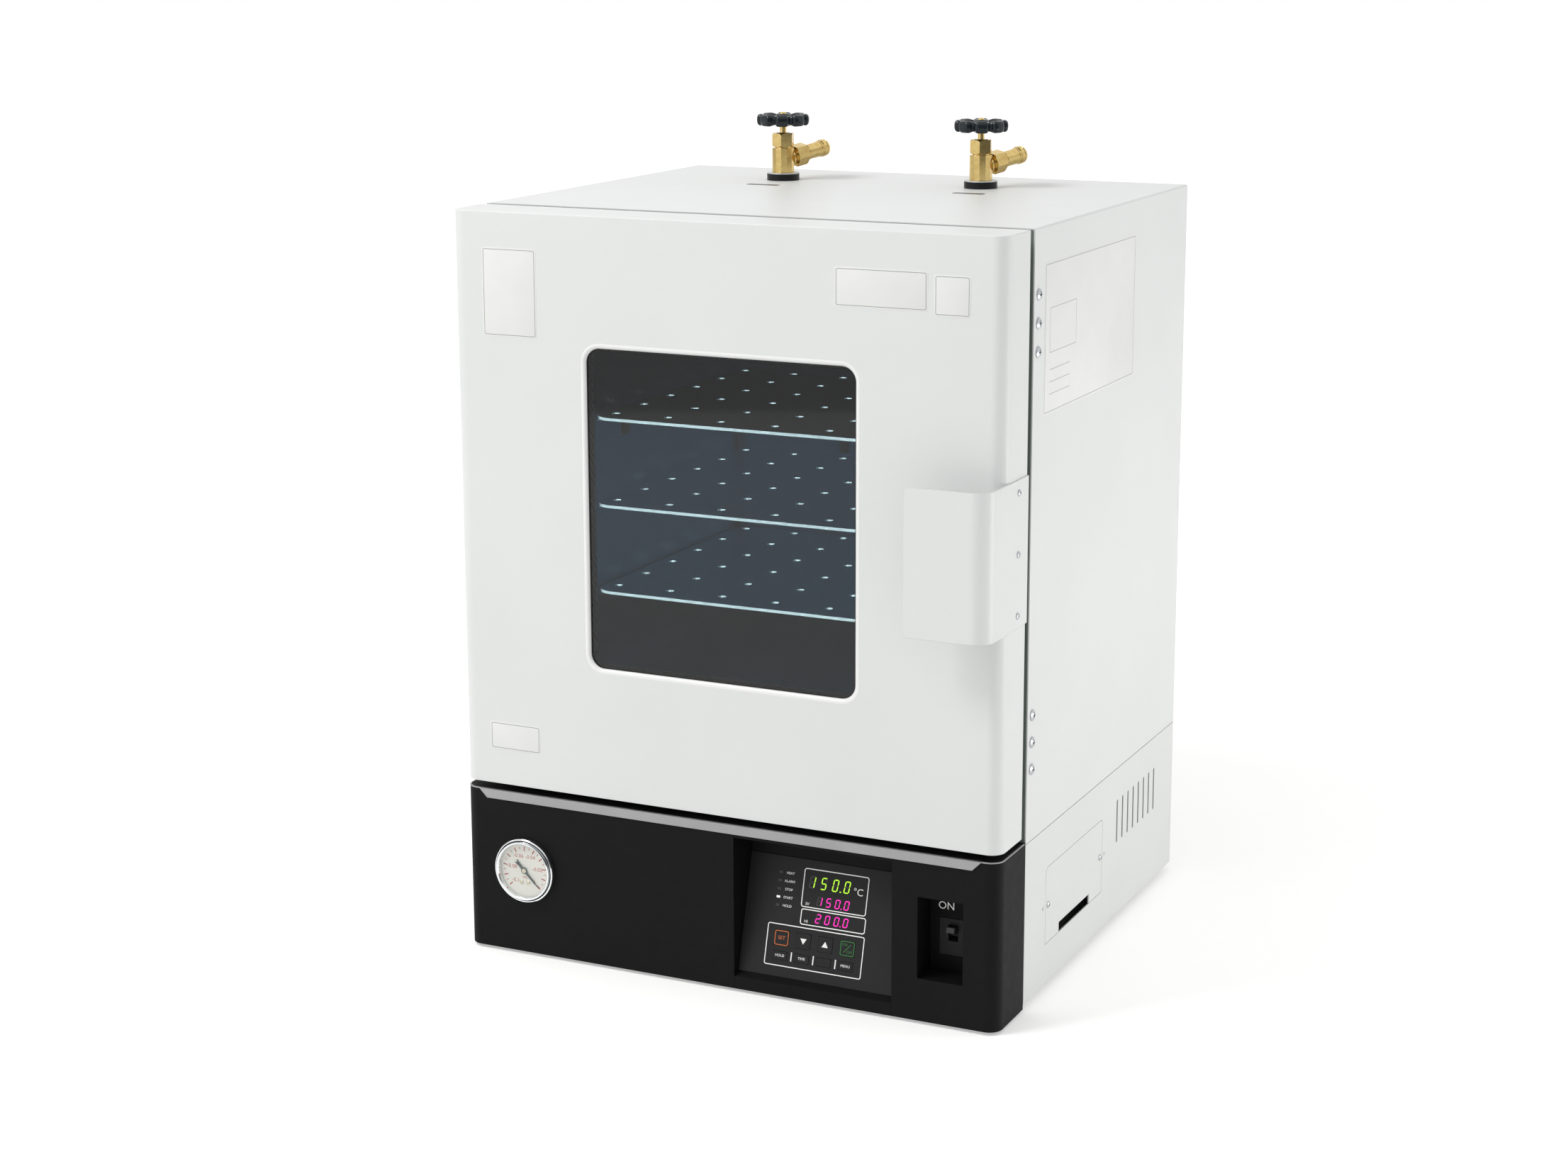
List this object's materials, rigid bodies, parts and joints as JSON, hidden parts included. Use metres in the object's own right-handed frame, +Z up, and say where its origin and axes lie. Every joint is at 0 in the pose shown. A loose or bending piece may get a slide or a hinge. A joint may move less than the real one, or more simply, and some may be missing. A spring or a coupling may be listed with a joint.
{
  "type": "vacuum oven",
  "caption": "Bench vacuum oven with a glazed front door, black control base and two hand-wheel valves on top.",
  "frame": {"origin": "bottom centre of the bounding box, on the surface that the feet stand on", "axes": "+Z up, -Y out of the door, +X towards the handle side"},
  "size_m": [0.5111, 0.513, 0.7144],
  "materials": {
    "white_paint": "satin powder coat",
    "grey_paint": "satin powder coat",
    "front_paint": "satin grey-green paint",
    "black_cover": "fine-textured black",
    "trim_alloy": "fine brushed and clear anodised",
    "screw_steel": "zinc plated",
    "rubber": "matt",
    "silicone": "satin",
    "keypad_film": "satin film",
    "key_cap": "satin",
    "circuit_board": "board with parts",
    "breaker_plastic": "moulded black",
    "gauge_steel": "drawn steel",
    "bezel_chrome": "polished",
    "dial_enamel": "cream enamel",
    "pointer_black": "matt black",
    "clear_glass": "clear",
    "tinted_glass": "dark tint",
    "chamber_steel": "brushed stainless",
    "shelf_alloy": "plain rolled",
    "heater_pad": "silicone pad",
    "wool": "mineral wool",
    "copper": "drawn copper",
    "gland_plastic": "moulded black",
    "hinge_steel": "brushed stainless",
    "black_plastic": "turned black",
    "washer_steel": "zinc plated",
    "brass": "machined",
    "wheel_enamel": "glossy black enamel"
  },
  "bodies": {
    "cabinet": {"upper_casing": "white_paint", "lower_casing": "grey_paint", "rear_panel": "white_paint", "front_panel": "front_paint", "feet": "rubber", "access_cover": "grey_paint", "side_screws": "screw_steel", "panel_screws": "screw_steel", "base_front_cover": "black_cover", "trim_strip": "trim_alloy", "control_bezel": "black_cover", "keypad_overlay": "keypad_film", "control_board": "circuit_board", "breaker_body": "breaker_plastic", "gauge_case": "gauge_steel", "gauge_bezel": "bezel_chrome", "gauge_dial": "dial_enamel", "gauge_glass": "clear_glass", "chamber": "chamber_steel", "door_gasket": "silicone", "shelf_runners": "chamber_steel", "heaters": "heater_pad", "insulation": "wool", "vacuum_pipes": "copper", "temperature_sensor": "chamber_steel", "cable_gland": "gland_plastic", "power_board": "circuit_board", "hinge_leaves_fixed": "hinge_steel", "hinge_pins": "hinge_steel", "valve_collars": "black_plastic", "valve_washers": "washer_steel", "valve_bodies": "brass", "valve_gland_nuts": "brass", "valve_nipples": "brass"},
    "door": {"hinge_leaves_moving": "hinge_steel", "door_shell": "white_paint", "tinted_pane": "tinted_glass", "vacuum_glass": "clear_glass", "door_back_frame": "front_paint", "handle_plate": "white_paint", "door_screws": "screw_steel"},
    "gauge_pointer": {"gauge_pointer": "pointer_black"},
    "breaker_lever": {"breaker_lever": "breaker_plastic"},
    "key_set": {"key_set": "key_cap"},
    "key_down": {"key_down": "key_cap"},
    "key_up": {"key_up": "key_cap"},
    "key_run": {"key_run": "key_cap"},
    "key_hold": {"key_hold": "key_cap"},
    "key_timer": {"key_timer": "key_cap"},
    "key_spare": {"key_spare": "key_cap"},
    "key_menu": {"key_menu": "key_cap"},
    "shelf_bottom": {"shelf_bottom": "shelf_alloy"},
    "shelf_middle": {"shelf_middle": "shelf_alloy"},
    "shelf_top": {"shelf_top": "shelf_alloy"},
    "valve_1_plug": {"valve_plug_1": "brass"},
    "valve_1_wheel": {"valve_stem_1": "brass", "valve_wheel_1": "wheel_enamel"},
    "valve_2_plug": {"valve_plug_2": "brass"},
    "valve_2_wheel": {"valve_stem_2": "brass", "valve_wheel_2": "wheel_enamel"}
  },
  "joints": [
    {"name": "door_swing", "type": "hinge", "parent": "cabinet", "child": "door", "pos_m": [-0.254, -0.1655, 0.4055], "axis": [0, 0, -1], "range_deg": [0, 120]},
    {"name": "gauge_sweep", "type": "hinge", "parent": "cabinet", "child": "gauge_pointer", "pos_m": [-0.19, -0.2202, 0.079], "axis": [0, 1, 0], "range_deg": [0, 270], "stiffness_Nm_per_rad": 0.0005},
    {"name": "breaker_tip", "type": "hinge", "parent": "cabinet", "child": "breaker_lever", "pos_m": [0.1993, -0.1835, 0.0721], "axis": [1, 0, 0], "range_deg": [0, 36]},
    {"name": "key_set_press", "type": "slide", "parent": "cabinet", "child": "key_set", "axis": [0, 0.9627, -0.2706], "range_m": [0, 0.0004], "stiffness_N_per_m": 3000},
    {"name": "key_down_press", "type": "slide", "parent": "cabinet", "child": "key_down", "axis": [0, 0.9627, -0.2706], "range_m": [0, 0.0004], "stiffness_N_per_m": 3000},
    {"name": "key_up_press", "type": "slide", "parent": "cabinet", "child": "key_up", "axis": [0, 0.9627, -0.2706], "range_m": [0, 0.0004], "stiffness_N_per_m": 3000},
    {"name": "key_run_press", "type": "slide", "parent": "cabinet", "child": "key_run", "axis": [0, 0.9627, -0.2706], "range_m": [0, 0.0004], "stiffness_N_per_m": 3000},
    {"name": "key_hold_press", "type": "slide", "parent": "cabinet", "child": "key_hold", "axis": [0, 0.9627, -0.2706], "range_m": [0, 0.0004], "stiffness_N_per_m": 3000},
    {"name": "key_timer_press", "type": "slide", "parent": "cabinet", "child": "key_timer", "axis": [0, 0.9627, -0.2706], "range_m": [0, 0.0004], "stiffness_N_per_m": 3000},
    {"name": "key_spare_press", "type": "slide", "parent": "cabinet", "child": "key_spare", "axis": [0, 0.9627, -0.2706], "range_m": [0, 0.0004], "stiffness_N_per_m": 3000},
    {"name": "key_menu_press", "type": "slide", "parent": "cabinet", "child": "key_menu", "axis": [0, 0.9627, -0.2706], "range_m": [0, 0.0004], "stiffness_N_per_m": 3000},
    {"name": "shelf_bottom_slide", "type": "slide", "parent": "cabinet", "child": "shelf_bottom", "axis": [0, -1, 0], "range_m": [0, 0.012]},
    {"name": "shelf_middle_slide", "type": "slide", "parent": "cabinet", "child": "shelf_middle", "axis": [0, -1, 0], "range_m": [0, 0.012]},
    {"name": "shelf_top_slide", "type": "slide", "parent": "cabinet", "child": "shelf_top", "axis": [0, -1, 0], "range_m": [0, 0.012]},
    {"name": "valve_1_lift", "type": "slide", "parent": "cabinet", "child": "valve_1_plug", "axis": [0, 0, 1], "range_m": [0, 0.00377]},
    {"name": "valve_1_turn", "type": "hinge", "parent": "valve_1_plug", "child": "valve_1_wheel", "pos_m": [-0.106, 0.1295, 0.712], "axis": [0, 0, 1], "range_deg": [0, 1080]},
    {"name": "valve_2_lift", "type": "slide", "parent": "cabinet", "child": "valve_2_plug", "axis": [0, 0, 1], "range_m": [0, 0.00377]},
    {"name": "valve_2_turn", "type": "hinge", "parent": "valve_2_plug", "child": "valve_2_wheel", "pos_m": [0.09, 0.1295, 0.712], "axis": [0, 0, 1], "range_deg": [0, 1080]}
  ],
  "couplings": [
    {"joint": "valve_1_lift", "follows": "valve_1_turn", "m_per_rad": 0.00019894},
    {"joint": "valve_2_lift", "follows": "valve_2_turn", "m_per_rad": 0.00019894}
  ]
}
